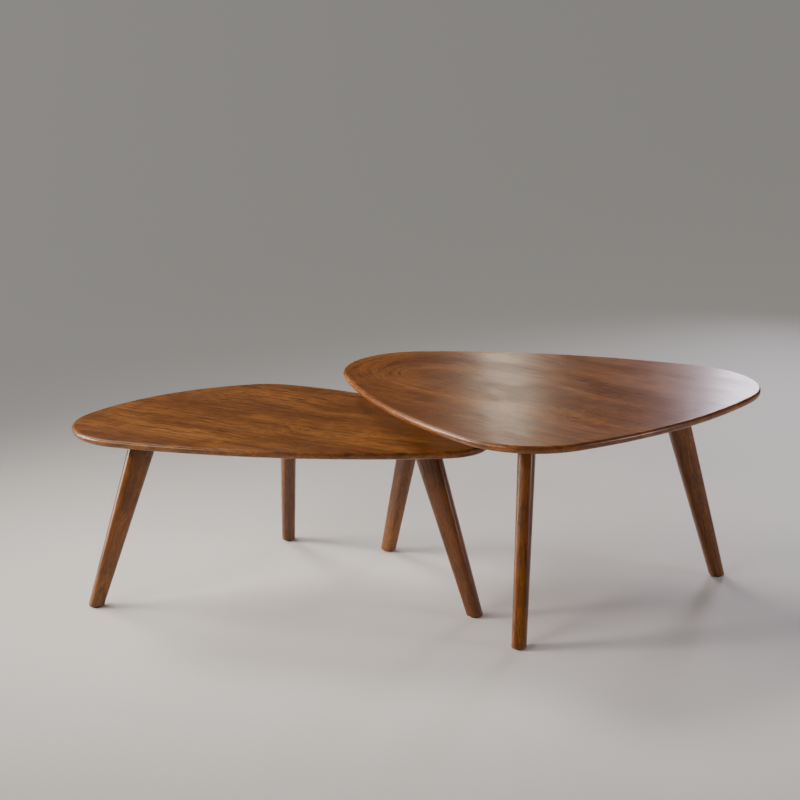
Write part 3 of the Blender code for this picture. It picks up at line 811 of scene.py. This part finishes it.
def plate_mesh(length, width, thickness):
    """A pressed steel plate with rounded corners and eased edges, its upper face on z = 0."""
    half_x, half_y = width / 2 - PLATE_CORNER, length / 2 - PLATE_CORNER
    corners = ((half_x, half_y), (-half_x, half_y), (-half_x, -half_y), (half_x, -half_y))
    points = []
    for quarter, (x, y) in enumerate(corners):
        for step in range(PLATE_CORNER_STEPS + 1):
            angle = (quarter + step / PLATE_CORNER_STEPS) * math.pi / 2
            points.append((x + PLATE_CORNER * math.cos(angle), y + PLATE_CORNER * math.sin(angle)))
    ease = PLATE_EDGE * 0.3
    levels = ((0.0, PLATE_EDGE), (-ease, ease), (-PLATE_EDGE, 0.0),
              (PLATE_EDGE - thickness, 0.0), (ease - thickness, ease), (-thickness, PLATE_EDGE))
    shape = bmesh.new()
    rings = []
    for height, inset in levels:
        shrink_x, shrink_y = (width / 2 - inset) / (width / 2), (length / 2 - inset) / (length / 2)
        rings.append([shape.verts.new((x * shrink_x, y * shrink_y, height)) for x, y in points])
    close_rings(shape, rings)
    shape.faces.new(rings[0])
    shape.faces.new(rings[-1][::-1])
    return to_mesh(shape, "leg_plate")


def make_plate(table, side, bolts, screws, turn):
    """A leg's plate, drilled for its bolts and countersunk from above for its screws."""
    node = f"{table}_plate_{side}"
    low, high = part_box(node)
    thickness = high.z - low.z
    middle = (bolts[0] + bolts[1]) / 2
    place = Matrix.Translation((middle.x, middle.y, high.z)) @ turn
    points = np.array([place.inverted() @ Vector(p) for p in node_points(node)])
    width, length = np.ptp(points[:, 0]), np.ptp(points[:, 1])
    plate = finish_piece(f"{table}_{side}_leg_plate", plate_mesh(length, width, thickness), ("plate",),
                         node, TABLES[table]["body"], place)
    holes = []
    for spots, radius in ((bolts, PLATE_BOLT_HOLE), (screws, PLATE_SCREW_HOLE)):
        holes += [((*spot, high.z - thickness / 2), radius, radius, 2 * thickness) for spot in spots]
    bore_out(plate, holes)
    sink = high.z + SINK_RISE - SINK_DEPTH / 2
    bore_out(plate, [((*spot, sink), PLATE_SCREW_HOLE, SINK_RADIUS, SINK_DEPTH) for spot in screws])
    smooth(plate.data, METAL_CREASE)


def make_fixings(table, side, shared):
    """One leg's plate, bolts, screws, inserts and glide, each set where the frame has it."""
    body = TABLES[table]["body"]
    bolts = [node_centre(f"{table}_plate_bolt_{side}_{number}").xy for number in (1, 2)]
    screws = [node_centre(f"{table}_leg_screw_{side}_{number}").xy for number in (1, 2)]
    lean = (screws[1] - screws[0]).normalized()
    turn = Matrix.Rotation(math.atan2(lean.y, lean.x), 4, "Z")
    make_plate(table, side, bolts, screws, turn)

    for number, (bolt, screw) in enumerate(zip(bolts, screws), start=1):
        name = f"{table}_plate_bolt_{side}_{number}"
        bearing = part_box(name)[0].z + BOLT_HEAD_HEIGHT
        finish_piece(f"{table}_{side}_bolt_{number}", shared["bolt"], ("zinc",), name, body,
                     Matrix.Translation((bolt.x, bolt.y, bearing)) @ turn)
        name = f"{table}_insert_{side}_{number}"
        finish_piece(f"{table}_{side}_brass_insert_{number}", shared["insert"], ("brass",), name, body,
                     Matrix.Translation((bolt.x, bolt.y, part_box(name)[0].z)))
        name = f"{table}_leg_screw_{side}_{number}"
        finish_piece(f"{table}_{side}_screw_{number}", shared["screw"], ("zinc",), name, body,
                     Matrix.Translation((screw.x, screw.y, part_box(name)[1].z)) @ turn)
    name = f"{table}_glide_{side}"
    spot = node_centre(name)
    finish_piece(f"{table}_{side}_foot_glide", shared["glide"], ("glide",), name, body,
                 Matrix.Translation((spot.x, spot.y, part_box(name)[0].z)))


# ==== the studio =================================================================================
FLOOR_RADIUS = 60.0
FLOOR_COLOUR = (0.78, 0.77, 0.75, 1.0)
WALL_COLOUR = (0.86, 0.88, 0.90, 1.0)
WALL_LIGHT, WALL_SEEN = 0.05, 0.22
KEY_FROM, KEY_STRENGTH, KEY_WIDTH = (-0.9, 1.1, 1.6), 1.2, 20.0     # its width is in degrees
CENTRE = Vector((0.0, 0.0, 0.0))
PANELS = (
    # name, place, aimed at, (width, height), watts, colour, spread of its beam in degrees
    ("left_panel", (-2.7, 0.1, 1.25), (-0.1, 0.0, 0.42), (1.6, 0.34), 17, (1.0, 0.92, 0.84), 60),
    ("front_left_panel", (-2.2, -1.8, 1.75), (-0.2, 0.0, 0.42), (1.5, 0.24), 5.5, (1.0, 0.93, 0.85), 60),
    ("left_low_panel", (-2.6, 0.6, 0.34), (-0.1, 0.0, 0.28), (1.3, 0.5), 2.0, (1.0, 0.93, 0.86), 40),
    ("back_strip", (0.40, 3.4, 1.25), (0.35, 0.0, 0.45), (0.18, 1.1), 0.55, (1.0, 0.92, 0.74), 90),
    ("back_panel", (1.62, 3.2, 1.15), (0.5, 0.0, 0.45), (0.7, 1.1), 7.8, (0.94, 0.86, 1.0), 90),
    ("right_panel", (2.8, -0.9, 0.8), (0.5, 0.0, 0.42), (0.5, 0.7), 2.4, (0.88, 0.86, 1.0), 60),
)
CAMERA_PLACE, CAMERA_PITCH = (-0.041, -3.447, 1.36), 75.0           # degrees up from straight down
LENS, SENSOR = 76.5, 36.0


def make_floor():
    shape = bmesh.new()
    bmesh.ops.create_circle(shape, cap_ends=True, segments=96, radius=FLOOR_RADIUS)
    mesh = bpy.data.meshes.new("studio_floor")
    shape.to_mesh(mesh)
    shape.free()
    floor = bpy.data.objects.new("studio_floor", mesh)
    bpy.context.scene.collection.objects.link(floor)
    material = start_material("pale_floor", Base_Color=FLOOR_COLOUR, Roughness=0.65)[0]
    mesh.materials.append(material)


def turned_to(place, aim):
    """The rotation of a lamp at place that shines at aim."""
    return (Vector(aim) - Vector(place)).to_track_quat("-Z", "Y").to_euler()


def add_panel(name, place, aim, size, power, colour, spread):
    lamp = bpy.data.lights.new(name, "AREA")
    lamp.shape = "RECTANGLE"
    lamp.size, lamp.size_y = size
    lamp.energy = power
    lamp.spread = math.radians(spread)
    lamp.color = colour
    light = bpy.data.objects.new(name, lamp)
    light.location = place
    light.rotation_euler = turned_to(place, aim)
    light.visible_camera = False
    bpy.context.scene.collection.objects.link(light)


def make_studio():
    make_floor()
    world = bpy.data.worlds.new("studio")
    bpy.context.scene.world = world
    world.use_nodes = True
    # The wall behind is pale to look at but adds little light, so the lacquer's reflections stay clean.
    tree = world.node_tree
    seen = put(tree, "ShaderNodeLightPath").outputs["Is Camera Ray"]
    strength = maths(tree, "ADD", maths(tree, "MULTIPLY", seen, WALL_SEEN), WALL_LIGHT)
    tree.nodes["Background"].inputs["Color"].default_value = WALL_COLOUR
    tree.links.new(strength, tree.nodes["Background"].inputs["Strength"])
    sun = bpy.data.lights.new("soft_key", "SUN")
    sun.energy = KEY_STRENGTH
    sun.angle = math.radians(KEY_WIDTH)
    sun.color = (1.0, 0.96, 0.90)
    key = bpy.data.objects.new("soft_key", sun)
    key.rotation_euler = turned_to(KEY_FROM, CENTRE)
    bpy.context.scene.collection.objects.link(key)
    for panel in PANELS:
        add_panel(*panel)


def make_camera():
    lens = bpy.data.cameras.new("camera")
    lens.lens, lens.sensor_width = LENS, SENSOR
    lens.clip_end = FLOOR_RADIUS
    camera = bpy.data.objects.new("camera", lens)
    camera.location = CAMERA_PLACE
    camera.rotation_euler = (math.radians(CAMERA_PITCH), 0.0, 0.0)
    bpy.context.scene.collection.objects.link(camera)
    bpy.context.scene.camera = camera


# ==== building it ================================================================================
GRAIN_BEARING = {"tall": -42.0, "low": -28.0}       # degrees, of the grain on each top
BOARD_STEP = Vector((0.31, 0.083, 0.057))           # from one leg's place in the board to the next

shared_meshes = {"bolt": bolt_mesh(), "screw": leg_screw_mesh(), "insert": insert_mesh(),
                 "glide": glide_mesh()}
cut_legs = 0
for table_name, parts in TABLES.items():
    make_top(table_name, GRAIN_BEARING[table_name])
    for leg_side in parts["sides"]:
        cut_legs += 1
        make_leg(table_name, leg_side, -BOARD_STEP * cut_legs)
        make_fixings(table_name, leg_side, shared_meshes)

make_studio()
make_camera()
